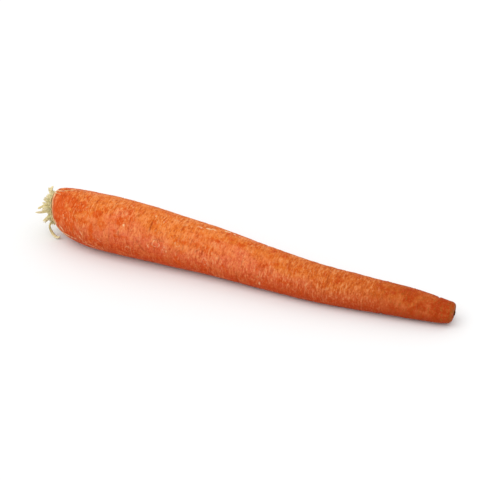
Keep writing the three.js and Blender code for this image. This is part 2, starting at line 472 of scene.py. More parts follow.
@dataclass
class MeshMaker:
    """Collects closed tubes and makes one mesh object of them.

    Args:
        name: The object's name.
        shift: Moves the carrot's own coordinates to the frame's.
    """

    name: str
    shift: Array
    points: list[Array] = field(default_factory=list)
    faces: list[list[int]] = field(default_factory=list)
    smooth: list[bool] = field(default_factory=list)
    values: dict[str, list[Array]] = field(default_factory=dict)
    count: int = 0

    def tube(self, rings: Array, values: dict[str, Reading], looped: bool = False) -> None:
        """Adds one closed tube.

        Args:
            rings: Places by ring, by side and by x, y, z.
            values: Numbers or vectors that the finish reads, by name, each spread over the rings and sides.
            looped: True if the last ring joins the first, and False if both ends are closed by a fan.
        """
        rows, sides = rings.shape[:2]
        index = self.count + np.arange(rows * sides).reshape(rows, sides)
        if looped:
            index = np.vstack([index, index[:1]])
        following = np.roll(index, -1, axis=1)
        quads = np.stack([index[:-1], index[1:], following[1:], following[:-1]], -1).reshape(-1, 4)
        spread = {k: np.broadcast_to(v, (rows, sides) + np.shape(v)[2:]) for k, v in values.items()}
        self._add(rings, quads, True, spread)
        if not looped:
            self._close(index[0], following[0], rings[0], {k: v[0] for k, v in spread.items()})
            self._close(following[-1], index[-1], rings[-1], {k: v[-1] for k, v in spread.items()})

    def _close(self, here: Array, there: Array, ring: Array, values: dict[str, Array]) -> None:
        """Closes an end of a tube by flat triangles to the middle of its last ring.

        Args:
            here: Indices of the ring's places.
            there: Indices of the next place round for each.
            ring: The places.
            values: The ring's numbers by name.
        """
        fan = np.stack([np.full(len(here), self.count), here, there], -1)
        self._add(ring.mean(0)[None, None], fan, False, {k: v.mean(0)[None, None] for k, v in values.items()})

    def _add(self, places: Array, faces: Array, smooth: bool, values: dict[str, Array]) -> None:
        """Adds places and faces.

        Args:
            places: The places by ring, by side and by x, y, z.
            faces: The corners of each face.
            smooth: Whether the faces are shaded smooth.
            values: Numbers or vectors of each place, by name.
        """
        self.points.append(places.reshape(-1, 3))
        self.faces.extend(faces.tolist())
        self.smooth.extend([smooth] * len(faces))
        self.count += len(self.points[-1])
        for name, value in values.items():
            self.values.setdefault(name, []).append(value.reshape(len(self.points[-1]), -1))

    def finish(self, material: bpy.types.Material) -> bpy.types.Object:
        """Makes the object.

        Args:
            material: The finish of all its faces.

        Returns:
            The object, in metres, at the origin.
        """
        mesh = bpy.data.meshes.new(self.name)
        mesh.from_pydata(((np.vstack(self.points) + self.shift) * MM).tolist(), [], self.faces)
        for name, chunks in self.values.items():
            data = np.vstack(chunks)
            kind, key = ("FLOAT", "value") if data.shape[1] == 1 else ("FLOAT_VECTOR", "vector")
            mesh.attributes.new(name, kind, "POINT").data.foreach_set(key, data.astype(np.float32).ravel())
        mesh.polygons.foreach_set("use_smooth", self.smooth)
        mesh.validate()
        mesh.materials.append(material)
        return into_scene(self.name, mesh)


Number: TypeAlias = "float | Expression"


class Expression:
    """A shader socket that can be used in Python arithmetic. Each operation adds a Math node."""

    def __init__(self, graph: "Graph", socket: bpy.types.NodeSocket) -> None:
        """Wraps a socket.

        Args:
            graph: The material's nodes.
            socket: An output socket of one of them.
        """
        self.graph = graph
        self.socket = socket

    def __add__(self, other: Number) -> "Expression":
        """Adds a number or an expression."""
        return self.graph.math("ADD", self, other)

    __radd__ = __add__

    def __mul__(self, other: Number) -> "Expression":
        """Multiplies by a number or an expression."""
        return self.graph.math("MULTIPLY", self, other)

    __rmul__ = __mul__

    def __sub__(self, other: Number) -> "Expression":
        """Subtracts a number or an expression."""
        return self.graph.math("SUBTRACT", self, other)

    def __rsub__(self, other: Number) -> "Expression":
        """Subtracts this expression from a number."""
        return self.graph.math("SUBTRACT", other, self)

    def between(self, low: float, high: float) -> "Expression":
        """Gives a smooth step from 0 at low to 1 at high, which may be the smaller."""
        settings = {"interpolation_type": "SMOOTHSTEP"}
        return self.graph.node("ShaderNodeMapRange", settings, {0: self, 1: low, 2: high, 3: 0.0, 4: 1.0})


class Graph:
    """The nodes of one material around a Principled shader."""

    def __init__(self, name: str) -> None:
        """Starts a material.

        Args:
            name: The material's name.
        """
        self.material = bpy.data.materials.new(name)
        self.material.use_nodes = True
        self.nodes = self.material.node_tree.nodes
        self.links = self.material.node_tree.links
        self.shader = self.nodes["Principled BSDF"]

    def node(self, kind: str, settings: dict[str, object], inputs: dict[int | str, object],
             output: int | str = 0) -> Expression:
        """Adds any node.

        Args:
            kind: The node's type.
            settings: Its own settings, which are set first.
            inputs: Values or expressions of its sockets, by index or name.
            output: Which of its outputs to use.

        Returns:
            That output.
        """
        node = self.nodes.new(kind)
        for key, value in settings.items():
            setattr(node, key, value)
        for key, value in inputs.items():
            self.feed(node.inputs[key], value)
        return Expression(self, node.outputs[output])

    def feed(self, socket: bpy.types.NodeSocket, value: object) -> None:
        """Gives a socket its value, or a link where the value is an expression.

        Args:
            socket: The input socket.
            value: A value of its kind, or an expression.
        """
        if isinstance(value, Expression):
            self.links.new(value.socket, socket)
        else:
            socket.default_value = value

    def math(self, operation: str, a: Number, b: Number) -> Expression:
        """Adds a Math node on two values."""
        return self.node("ShaderNodeMath", {"operation": operation}, {0: a, 1: b})

    def read(self, name: str, output: str = "Fac") -> Expression:
        """Reads the number that the mesh holds at each place, or with the output Vector the vector."""
        return self.node("ShaderNodeAttribute", {"attribute_name": name}, {}, output)

    def noise(self, place: Expression, grain: Point, detail: float, rough: float, seed: float) -> Expression:
        """Adds noise with its own grain size in each direction.

        Args:
            place: The coordinates, in millimetres.
            grain: Size of the noise's features in each direction, in millimetres.
            detail: How many finer layers it has.
            rough: How strong they are.
            seed: Picks one pattern.

        Returns:
            The noise, around 0.5.
        """
        inverse = tuple(1 / size for size in grain)
        scaled = self.node("ShaderNodeVectorMath", {"operation": "MULTIPLY"}, {0: place, 1: inverse})
        return self.node("ShaderNodeTexNoise", {"noise_dimensions": "4D"}, {
            "Vector": scaled, "W": seed, "Scale": 1.0, "Detail": detail, "Roughness": rough})

    def paint(self, base: Colour | Expression, coats: Sequence[tuple[Number, Colour]]) -> Expression:
        """Lays coats of colour over each other.

        Args:
            base: The colour under them.
            coats: Each coat's share, from 0 to 1, and its colour.

        Returns:
            The colour that they make.
        """
        settings = {"data_type": "RGBA", "clamp_factor": True}
        for share, colour in coats:
            base = self.node("ShaderNodeMix", settings, {0: share, 6: base, 7: colour}, 2)
        return base

    def bump(self, height: Expression, depth: float, strength: float) -> None:
        """Gives the shader fine relief.

        Args:
            height: The relief, from 0 to 1.
            depth: Its full height, in millimetres.
            strength: How much of it shows, from 0 to 1.
        """
        inputs = {"Height": height, "Strength": strength, "Distance": depth * MM}
        self.feed(self.shader.inputs["Normal"], self.node("ShaderNodeBump", {}, inputs))

    def surface(self, **values: object) -> None:
        """Sets the shader's inputs by name, with _ for the spaces."""
        for name, value in values.items():
            self.feed(self.shader.inputs[name.replace("_", " ")], value)


def srgb(code: int) -> Colour:
    """Turns a colour written as 0xRRGGBB into the linear colour that shaders use.

    Args:
        code: The colour as one number.

    Returns:
        Red, green and blue from 0 to 1, and full opacity.
    """
    parts = [(code >> shift & 255) / 255 for shift in (16, 8, 0)]
    linear = [c / 12.92 if c <= 0.04045 else ((c + 0.055) / 1.055) ** 2.4 for c in parts]
    return (linear[0], linear[1], linear[2], 1.0)


@dataclass(frozen=True)
class SkinFinish:
    """The carrot's skin: mottled orange with dry transverse streaks and scuffs, slightly moist, with painted
    shade on its underside.
    """

    orange: Colour = srgb(0xD26C22)
    pink: Colour = srgb(0xD26442)
    # under: painted shade, the darker orange-red of the root's lower side
    under: Colour = srgb(0xB63602)
    tip: Colour = srgb(0x862300)
    deep: Colour = srgb(0xC44705)
    shade: Colour = srgb(0xA2380A)
    light: Colour = srgb(0xE2884C)
    dry: Colour = srgb(0xDC9A66)
    cream: Colour = srgb(0xE2BE90)
    lip: Colour = srgb(0xE0AE80)
    crack: Colour = srgb(0x8A3206)
    straw: Colour = srgb(0x8A5620)
    brown: Colour = srgb(0x3E220E)

    def make(self) -> bpy.types.Material:
        """Makes the material.

        Returns:
            The material, which reads the values that RootSkin stores.
        """
        graph = Graph("orange_skin")
        place = graph.read("skin", "Vector")
        zones = graph.noise(place, (17.0, 10.0, 10.0), 2.0, 0.5, 7.0)
        clouds = graph.noise(place, (26.0, 17.0, 17.0), 2.0, 0.5, 1.0)
        patches = graph.noise(place, (5.5, 5.0, 5.0), 4.0, 0.62, 2.0)
        flecks = graph.noise(place, (1.5, 2.3, 2.3), 3.0, 0.66, 3.0)
        streaks = graph.noise(place, (1.1, 9.0, 9.0), 3.0, 0.6, 4.0)
        strokes = graph.noise(place, (0.9, 3.0, 3.0), 2.5, 0.55, 5.0)
        pores = graph.noise(place, (0.55, 1.0, 1.0), 3.0, 0.6, 6.0)

        height, tip, torn = graph.read("height"), graph.read("tipward"), graph.read("torn")
        scaly = (graph.read("dry") + (zones - 0.5) * 2.6).between(0.30, 1.10)
        warm = height + (clouds - 0.5) * 2.6 + (patches - 0.5) * 0.9
        # low: share of painted shade on the lower side of the root, from the height round it
        low = (height + (patches - 0.5) * 0.5).between(0.50, -0.40)
        deep = (patches + graph.read("deep") * 0.30 + flecks * 0.35).between(0.68, 0.85) * 0.9
        # bright and crisp hold back the light and dry coats on the lower side, as painted shade, and towards
        # the tip
        bright = (1.0 - low * 0.5) * (1.0 - tip * 0.55)
        crisp = bright * (1.0 - tip * 0.25) * (1.0 - deep * 0.3)
        crumbs = flecks + strokes - 1.0
        pale = (graph.read("pale") + (flecks - 0.5) * 1.5).between(0.24, 0.85) * 0.72
        colour = graph.paint(self.orange, (
            (warm.between(0.95, 0.25) * (1.0 - tip * 0.7), self.pink),
            # painted shade: the lower side in the darker orange-red of under
            (low, self.under),
            (patches.between(0.53, 0.36) * bright * 0.54, self.light),
            (streaks.between(0.50, 0.72) * 0.34 * bright, self.light),
            (streaks.between(0.48, 0.30) * 0.30, self.shade),
            (deep, self.deep),
            (tip * (0.35 + patches * 0.75), self.tip),
            (strokes.between(0.53, 0.64) * (0.20 + scaly * 0.5) * crisp, self.dry),
            (strokes.between(0.47, 0.36) * (0.32 + scaly * 0.42), self.shade),
            (flecks.between(0.54, 0.68) * (0.20 + scaly * 0.38) * crisp, self.dry),
            (flecks.between(0.47, 0.34) * 0.55, self.shade),
            (pores.between(0.51, 0.66) * 0.55 * crisp, self.light),
            (pores.between(0.48, 0.32) * 0.26, self.shade),
            (crumbs.between(-0.04, -0.18) * tip * tip * 0.6, self.straw),
            (pale, self.cream),
            (graph.read("groove") * (0.30 + strokes * 0.85), self.crack),
            (graph.read("snapped") * flecks.between(0.44, 0.62) * 0.8, self.straw),
            (graph.read("lip") * (crumbs.between(-0.22, 0.10) * 0.75 + 0.2), self.lip),
            (torn * (0.55 + flecks * 0.7), self.brown)))
        rough = 0.50 + flecks * 0.16 + scaly * 0.05 + torn * 0.25 + pale * 0.15
        graph.bump(pores * 0.45 + streaks * 0.30 + strokes * 0.35, 0.5, 1.0)
        graph.surface(Base_Color=colour, Roughness=rough, Specular_IOR_Level=0.05,
                      Sheen_Weight=0.05, Sheen_Roughness=0.22, Sheen_Tint=(1.0, 0.84, 0.88, 1.0),
                      Subsurface_Weight=0.05, Subsurface_Radius=(1.0, 0.35, 0.1), Subsurface_Scale=1.0 * MM)
        return graph.material


@dataclass(frozen=True)
class DriedLeafFinish:
    """The dry papery leaf bases and fibres: cream at the torn edge, brown where they meet the root."""

    paper: Colour = srgb(0xD8C598)
    straw: Colour = srgb(0xB89A5E)
    brown: Colour = srgb(0x6B4A25)

    def make(self) -> bpy.types.Material:
        """Makes the material.

        Returns:
            The material, which reads the value tip: 0 at the root and 1 at the torn edge.
        """
        graph = Graph("dried_leaf")
        place = graph.read("place", "Vector")
        fibres = graph.noise(place, (0.35, 0.35, 2.4), 3.0, 0.6, 1.0)
        stains = graph.noise(place, (2.2, 2.2, 1.6), 3.0, 0.6, 2.0)
        tip = graph.read("tip")
        colour = graph.paint(self.brown, (
            ((tip + stains * 0.5 - 0.25).between(0.05, 0.55), self.straw),
            ((tip + fibres * 0.5 - 0.25).between(0.35, 0.85), self.paper),
            (fibres.between(0.55, 0.75) * 0.45, self.brown)))
        graph.bump(fibres, 0.15, 0.7)
        graph.surface(Base_Color=colour, Roughness=0.72 + fibres * 0.2, Specular_IOR_Level=0.25)
        return graph.material


@dataclass(frozen=True)
class StalkFinish:
    """The torn leaf stalks: pale straw green with lengthwise fibres, cream where they are torn."""

    green: Colour = srgb(0xB4AC64)
    straw: Colour = srgb(0xD2C28C)
    cream: Colour = srgb(0xE4D7B0)
    brown: Colour = srgb(0x86602E)

    def make(self) -> bpy.types.Material:
        """Makes the material.

        Returns:
            The material, which reads the values tip, tint and dried of each stalk.
        """
        graph = Graph("green_stalk")
        place = graph.read("place", "Vector")
        fibres = graph.noise(place, (0.3, 0.3, 3.0), 3.0, 0.6, 1.0)
        blotch = graph.noise(place, (1.8, 1.8, 2.2), 3.0, 0.6, 2.0)
        colour = graph.paint(self.straw, (
            ((graph.read("tint") * 0.6 + blotch * 0.8).between(0.35, 1.0), self.green),
            (fibres.between(0.46, 0.64) * 0.5, self.cream),
            ((graph.read("tip") + fibres * 0.6 - 0.3).between(0.45, 1.0) * 0.8, self.cream),
            ((graph.read("dried") + (fibres + blotch - 1.0) * 0.9).between(0.35, 0.95), self.brown)))
        graph.bump(fibres, 0.14, 0.6)
        graph.surface(Base_Color=colour, Roughness=0.55 + fibres * 0.25, Specular_IOR_Level=0.2,
                      Subsurface_Weight=0.12, Subsurface_Radius=(1.0, 0.9, 0.4), Subsurface_Scale=1.2 * MM)
        return graph.material


@dataclass
class Piece:
    """A sub-assembly that becomes one mesh object.

    Each kind of piece has its name, the record's material slot, whose name its finish shares, and the solids
    that it stands for.

    Args:
        form: The root's form, which all pieces sit on.
    """

    form: RootForm
    name: ClassVar[str]
    slot: ClassVar[str]
    stands_for: ClassVar[Sequence[str]] = ()

    def fill(self, maker: MeshMaker) -> None:
        """Adds the piece's closed tubes to the mesh that it becomes."""
        raise NotImplementedError

    def add(self, maker: MeshMaker, rings: Array, looped: bool = False, **values: Reading) -> None:
        """Adds one closed tube of the crown.

        Args:
            maker: The mesh that it joins.
            rings: Its places in the crown's own frame, which the finish reads as place unless that is given.
            looped: True if its last ring joins the first.
            values: What else the finish reads.
        """
        maker.tube(self.form.from_crown(rings), {"place": rings, **values}, looped)

    def build(self, shift: Array, material: bpy.types.Material) -> bpy.types.Object:
        """Builds the piece and joins it to the frame.

        Args:
            shift: Moves the carrot's own coordinates to the frame's.
            material: Its finish.

        Returns:
            The mesh object.
        """
        maker = MeshMaker(self.name, shift)
        self.fill(maker)
        thing = maker.finish(material)
        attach(thing, BODY)
        if self.stands_for:
            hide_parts(*self.stands_for)
        return thing


@dataclass
class RootSkin(Piece):
    """The taproot's skin, with its crown socket and snapped tip, as one closed mesh.

    Its rings stand at shoulder_rings, then from first_ring a step apart, then at edge_rings before the
    snapped edge. The lip's section is listed by radius and height, and the tip's face by radius and distance
    past the edge. A mark's numbers are those that Mark has after its kind. The dark line under the lip rises
    and fades between the distances of lip_line_span.
    """

    name: ClassVar[str] = "carrot_root_skin"
    slot: ClassVar[str] = "orange_skin"
    stands_for: ClassVar[Sequence[str]] = ("root",)
    sides: int = 150
    step: float = 0.425
    shoulder_rings: Sequence[float] = (0.0, 0.12, 0.3, 0.5, 0.75)
    first_ring: float = 1.05
    last_gap: float = 0.2
    edge_rings: Sequence[float] = (0.8, 0.6, 0.4, 0.22, 0.08, 0.0)
    socket_middle: float = 0.6
    socket_floor: float = 9.9
    socket_wall: float = 0.2
    socket_depth: float = 2.6
    socket_top: float = -0.3
    floor_rings: int = 9
    wall_rings: int = 4
    lip_section: Curve = ((10.14, -0.16), (10.24, -0.05), (10.36, 0.0))
    tip_face: Curve = (
        (5.05, 0.05), (4.8, 0.18), (4.5, 0.27), (4.2, 0.35), (3.6, 0.42), (3.0, 0.5), (2.4, 0.6), (1.9, 0.64),
        (1.5, 0.7), (1.3, 0.9), (1.1, 1.1), (0.7, 1.16), (0.35, 1.2))
    crease_count: int = 11
    creases_from: float = 16.0
    creases_to: float = 220.0
    crease_seed: int = 421
    crease_dark: float = 0.55
    tip_crease: Crease = Crease(233, math.radians(125), 0.75, 0.55)
    fine_creases: int = 210
    fine_seed: int = 1913
    fine_dark: float = 4.5
    scar_rows: int = 4
    scar_seed: int = 604
    scar_lips: float = 0.10
    lip_line: float = 0.55
    lip_line_span: tuple[float, float, float, float] = (1.1, 1.7, 2.0, 2.9)
    far_rim: float = math.radians(80)
    ragged_edges: Sequence[tuple[float, Grain]] = ((0.45, Grain(15, 1.1, 56)), (0.4, Grain(16, 2.4, 30)))
    dents: Grain = Grain(12, 6.0, 16)
    dent_height: float = 0.07
    humps: Sequence[tuple[float, Grain]] = (
        (0.035, Grain(11, 1.3, 9)), (0.025, Grain(13, 0.8, 70)), (0.06, Grain(14, 2.6, 5)))
    plain_shoulder: float = 6.0
    mark_heights: Sequence[tuple[float, MarkKind]] = (
        (0.06, MarkKind.PALE), (0.12, MarkKind.RING), (-0.26, MarkKind.CRACK))
    ring_pale: float = 0.72
    marks: Sequence[tuple[MarkKind, Sequence[Sequence[float]]]] = (
        (MarkKind.DEEP, (
            (6.5, 32, 4.5, 7.5, 0.8), (14.5, 60, 3.6, 3.4, 0.7), (15.5, 16, 4.6, 5.2, 0.8),
            (21.6, 58, 2.8, 4.4), (30.5, 6, 2.4, 8.0, 0.8), (33.5, 50, 3.4, 2.6, 0.9),
            (48.2, 46, 2.2, 2.6, 0.9), (52.5, 70, 1.7, 2.0), (107.2, 63, 1.6, 0.9, 0.9))),
        (MarkKind.SCALY, (
            (17.0, -16, 9.0, 6.0, 0.8), (33.0, -22, 13.0, 4.0, 0.6), (44.0, 84, 15.0, 5.0, 0.5),
            (72.0, 74, 7.0, 4.5, 0.5), (110.0, 20, 12.0, 5.5, 0.4), (178.0, 40, 20.0, 9.0, 0.5))),
        (MarkKind.PALE, (
            (3.8, -8, 0.7, 3.2, 1.0, 15), (5.8, -20, 0.6, 2.8, 1.0, 24), (8.0, -25, 0.6, 2.2, 0.9, 15),
            (7.6, -8, 0.5, 1.8, 0.8, 35), (11.5, -30, 0.6, 2.0, 0.7, 30), (15.0, -24, 0.5, 2.6, 0.5, 40),
            (14.0, -24, 8.0, 0.8, 0.85, 5), (28.5, -28, 7.0, 0.7, 0.8, -20), (9.5, -14, 0.6, 2.2, 0.8, 25),
            (19.5, -10, 0.6, 2.0, 0.6, 30), (23.5, -14, 0.6, 2.4, 0.55, 35), (26.8, -19, 0.6, 2.4, 0.6, 40),
            (10.5, 26, 0.6, 0.6, 0.9), (12.0, 21, 0.7, 0.6, 0.7), (15.0, 38, 1.0, 0.9, 0.42),
            (51.0, 40, 0.9, 0.9), (67.5, 78, 0.8, 1.2, 0.6), (73.5, 69, 0.8, 0.9, 0.7),
            (75.4, 71, 0.6, 0.8, 0.55), (86.5, 80, 1.0, 0.7, 0.6), (89.6, 79, 0.9, 0.9, 0.55),
            (70.5, 47, 0.9, 1.0, 0.6), (77.2, 9, 0.8, 3.2, 0.42), (66.9, 12, 0.6, 2.2, 0.5, 20),
            (24.0, 2, 0.6, 2.6, 0.55, 35), (29.5, 1, 0.5, 2.2, 0.5, 28), (36.0, -4, 0.6, 2.0, 0.5, 50),
            (93.8, 86, 3.2, 1.0, 0.6), (99.0, 90, 1.9, 0.8, 0.8), (101.8, 94, 1.5, 0.7, 0.8),
            # Next three: along the upper contour, partly real pale flecks and partly a painted highlight of
            # the top edge.
            (109.0, 108, 2.2, 1.2, 0.9), (113.5, 106, 1.3, 1.0, 0.8), (117.5, 104, 1.6, 0.9, 0.8),
            (134.9, 2, 0.7, 9.0, 0.48))),
        (MarkKind.RING, (
            (72.0, 18, 1.9, 2.0, 0.9), (84.8, 30, 1.6, 1.7, 0.8), (101.8, 6, 1.7, 2.0, 0.8),
            (67.8, 74, 1.6, 1.5, 0.7), (77.2, 5, 1.2, 3.2, 0.7), (54.2, -11, 1.5, 1.8, 0.8),
            (47.2, 14, 1.3, 1.6, 0.6))),
        (MarkKind.CRACK, (
            (95.5, 38, 1.9, 0.5, 0.7, 45), (97.0, 27, 1.9, 0.5, 0.6, 40), (92.5, 44, 0.5, 1.8, 0.6),
            (67.0, 55, 0.6, 5.2), (72.6, 28, 2.8, 0.45, 0.8, 12), (58.0, 67, 0.6, 1.3, 0.7),
            (60.5, 14, 0.6, 1.8, 0.7), (61.0, 22, 1.6, 0.45, 0.7), (62.6, 3, 0.45, 2.0, 0.7, 20),
            (64.4, -3, 0.45, 1.9, 0.65, 30), (68.8, 15, 0.45, 1.6, 0.5, -15), (71.0, 5, 0.45, 2.6, 0.45),
            (75.2, 27, 1.8, 0.45, 0.6, 8))))
    tipward: Curve = ((0, 0), (95, 0), (130, 0.14), (160, 0.38), (190, 0.56), (215, 0.80), (242, 0.95))
    dryness: Curve = (
        (0, 0.55), (20, 0.85), (45, 0.5), (90, 0.55), (140, 0.8), (165, 1.0), (195, 0.95), (210, 0.4),
        (242, 0.3))

    def creases(self) -> list[Crease]:
        """Gives the large creases, which the solid has too.

        Returns:
            The creases.
        """
        draw = draws(self.crease_seed)
        spacing = (self.creases_to - self.creases_from) / self.crease_count
        found = [Crease(self.creases_from + (i + 0.15 + 0.7 * draw()) * spacing,
                        i * GOLDEN_ANGLE + 0.6 * draw(), 0.55 + 0.75 * draw(), 0.3 + 0.25 * draw())
                 for i in range(self.crease_count)]
        return [*found, self.tip_crease]

    def fine(self) -> list[Crease]:
        """Gives the fine creases between the large ones, in the scene only.

        Returns:
            The creases.
        """
        draw = draws(self.fine_seed)
        return [Crease(2 + (self.form.length - 6) * draw(), TURN * draw(), 0.12 + 0.55 * draw() ** 2,
                       0.04 + 0.11 * draw(), 0.45 + 0.35 * draw(), 0.7 * draw())
                for _ in range(self.fine_creases)]

    def scars(self) -> list[Mark]:
        """Gives the scars of the side roots, which stand in rows along the root.

        Returns:
            The scars, as cracks.
        """
        draw = draws(self.scar_seed)
        found = []
        for row in range(self.scar_rows):
            at = 12 + 10 * draw()
            while at < self.form.length - 14:
                around = 360 * row / self.scar_rows + 14 + 0.1 * at + 16 * (draw() - 0.5)
                found.append(Mark(MarkKind.CRACK, at, around, 0.45, 1.0 + 1.6 * draw(), 0.4 + 0.5 * draw()))
                at += 9 + 17 * draw()
        return found

    def relief(self, at: Array, around: Array, radius: Array) -> tuple[Array, dict[str, Array]]:
        """Works out the skin's relief and the values that its finish reads.

        Args:
            at: Distances along the root.
            around: Angles round it.
            radius: Plain radius there.

        Returns:
            Heights over the smooth skin, and the values by name.
        """
        length = self.form.length
        proud, groove = np.zeros(at.shape), np.zeros(at.shape)
        large = [(crease, self.crease_dark) for crease in self.creases()]
        for crease, dark in large + [(crease, self.fine_dark * crease.depth) for crease in self.fine()]:
            weight = crease.weight(at, around)
            proud -= crease.depth * weight
            groove = np.maximum(groove, dark * weight)
        ragged = sum(share * grain.read(at, around) for share, grain in self.ragged_edges)
        groove = groove * np.clip(0.75 + ragged, 0, 1)
        start, full, fade, end = self.lip_line_span
        groove = np.maximum(groove, self.lip_line * rise(start, full, at) * rise(end, fade, at))
        sums = {kind: np.zeros(at.shape) for kind in MarkKind}
        placed = [Mark(kind, *sizes) for kind, rows in self.marks for sizes in rows]
        for mark in placed + self.scars():
            sums[mark.kind] = np.maximum(sums[mark.kind], mark.weight(at, around, radius, ragged))
        for scar in self.scars():
            lips = Mark(scar.kind, scar.at, scar.around, 1.5, scar.wide * 1.4)
            proud += self.scar_lips * lips.weight(at, around, radius)
        proud += sum(height * sums[kind] for height, kind in self.mark_heights)
        dents = self.dents.read(at, around)
        fine = sum(height * grain.read(at, around) for height, grain in self.humps)
        proud += rise(0, self.plain_shoulder, at) * (self.dent_height * dents + fine)
        within = np.clip(at, 0, length)
        far = rise(0.3, 0.9, np.sin(around - self.far_rim)) * rise(length - 0.7, length - 0.1, at)
        return proud, {
            "skin": vectors(at, -radius * np.cos(around), radius * np.sin(around)),
            # height: how high round the root a place lies; the skin's finish paints shade on the lower side
            # by it
            "height": np.sin(around) * rise(-0.5, 0.5, at),
            "deep": np.clip(sums[MarkKind.DEEP] + 0.35 * rise(205, 225, at) + 0.35 * rise(32, 5, at), 0, 1),
            "tipward": through(self.tipward, within),
            "dry": through(self.dryness, within) + sums[MarkKind.SCALY],
            "pale": np.maximum(sums[MarkKind.PALE], self.ring_pale * sums[MarkKind.RING]),
            "groove": np.clip(np.maximum(groove, sums[MarkKind.CRACK]), 0, 1),
            "lip": rise(1.7, 0.9, at + 0.4 * dents + 0.9 * ragged) * rise(-0.8, 0.1, at),
            "snapped": rise(length - 1.6, length - 0.2, at + 0.5 * dents),
            "torn": np.maximum(rise(2.6, 1.2, radius), 0.5 * far)}

    def socket(self, around: Array) -> Array:
        """Makes the rings of the crown's socket, from its middle to its lip.

        Args:
            around: Angles of the sides.

        Returns:
            Places by ring, by side and by x, y, z.
        """
        reach = np.linspace(self.socket_middle, self.socket_floor, self.floor_rings)
        tall = self.socket_top + self.socket_depth
        floor = [(r, -self.socket_depth) for r in reach]
        wall = [(self.socket_floor + self.socket_wall * t, tall * t - self.socket_depth)
                for t in np.linspace(0, 1, self.wall_rings + 1)[1:]]
        radius, height = np.array([*floor, *wall, *self.lip_section]).T[:, :, None]
        return self.form.from_crown(turned(radius, 0.0, height, around))

    def fill(self, maker: MeshMaker) -> None:
        """Adds the socket, the skin and the snapped face as one tube.

        Args:
            maker: The mesh that they join.
        """
        around = circle(self.sides) - math.pi
        edge = self.form.length - np.array(self.edge_rings)
        middle = np.arange(self.first_ring, edge[0] - self.last_gap, self.step)
        at = np.concatenate([self.shoulder_rings, middle, edge])[:, None] + 0 * around
        radius = through(self.form.radius, at)
        proud, values = self.relief(at, around + 0 * at, radius)

        tip_radius, tip_proud = np.array(self.tip_face).T[:, :, None] + 0 * around
        fibres = np.sin(17 * around) * np.sin(5 * around + 2)
        fibres = fibres * rise(0.3, 1.5, tip_radius) * rise(5.2, 4.4, tip_radius)
        tip_at = self.form.length + tip_proud + 0.12 * fibres
        _, tip_values = self.relief(tip_at, around + 0 * tip_at, tip_radius)

        socket = self.socket(around)
        depth = np.arange(len(socket))[:, None] - len(socket) + len(self.lip_section)
        inside = {name: np.repeat(value[:1], len(socket), axis=0) for name, value in values.items()}
        inside["torn"] = inside["torn"] + 0.7 * rise(2.5, -0.5, depth)
        inside["lip"] = rise(-0.5, 2.0, depth) + 0 * around
        skin = self.form.skin(at, around, radius, proud)
        tip = self.form.skin(tip_at, around, tip_radius)
        maker.tube(np.concatenate([socket, skin, tip]), {
            name: np.concatenate([inside[name], values[name], tip_values[name]]) for name in values})


